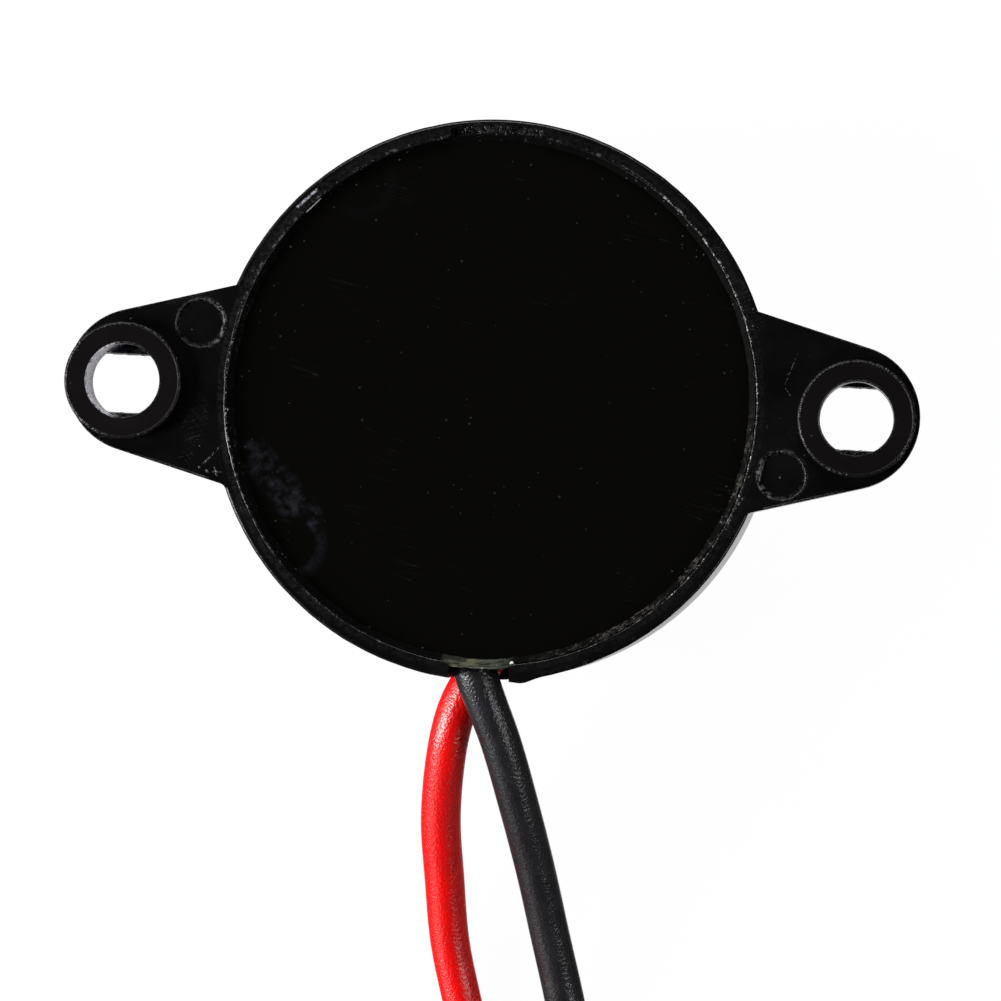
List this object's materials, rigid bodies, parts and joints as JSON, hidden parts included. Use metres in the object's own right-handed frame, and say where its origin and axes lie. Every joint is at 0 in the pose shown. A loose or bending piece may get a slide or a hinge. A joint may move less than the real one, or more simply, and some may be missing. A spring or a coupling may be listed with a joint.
{
  "type": "piezo buzzer",
  "caption": "round black leaded piezo buzzer with teardrop mounting ears, ringed screw holes, a coated board closing the rear, and a red and a black flying lead wound into a small coil",
  "frame": {"origin": "on the axis of the round body, in the plane of the front face that it rests on", "axes": "+Z points out of the rear face, +X runs along the two ears, and the leads leave towards -Y"},
  "size_m": [0.0352, 0.0599, 0.012],
  "materials": {
    "black_abs": "moulded black ABS, satin gloss with handling scratches",
    "black_coating": "glossy black coated glass-epoxy board",
    "sealant": "pale translucent adhesive",
    "copper": "etched copper foil",
    "epoxy": "moulded black epoxy",
    "chip_ceramic": "dark glazed chip ceramic",
    "tin": "bright tin plating",
    "solder": "soft solder",
    "silicone": "white silicone bond",
    "brass": "rolled brass sheet",
    "piezo_ceramic": "fired cream ceramic, matt",
    "silvering": "fired silver electrode, satin",
    "black_pvc": "extruded black PVC insulation, soft sheen",
    "red_pvc": "extruded red PVC insulation, glossy",
    "blue_pvc": "fine blue insulated wire",
    "two_lead_mix": "red and black PVC insulation, wound together",
    "nylon": "moulded black nylon"
  },
  "bodies": {
    "root": {"housing": "black_abs", "circuit_board": "black_coating", "board_sealant": "sealant", "copper_tracks": "copper", "transistor_body": "epoxy", "transistor_legs": "tin", "bias_resistor": "chip_ceramic", "load_resistor": "chip_ceramic", "feedback_resistor": "chip_ceramic", "resistor_end_caps": "tin", "board_solder": "solder", "piezo_bond": "silicone", "piezo_plate": "brass", "piezo_ceramic": "piezo_ceramic", "drive_electrode": "silvering", "feedback_electrode": "silvering", "piezo_solder": "solder", "plate_wire": "black_pvc", "drive_wire": "red_pvc", "feedback_wire": "blue_pvc", "red_core": "tin", "black_core": "tin", "red_lead": "red_pvc", "black_lead": "black_pvc", "lead_coil": "two_lead_mix", "coil_tie": "nylon", "red_tip": "tin", "black_tip": "tin"}
  },
  "joints": []
}
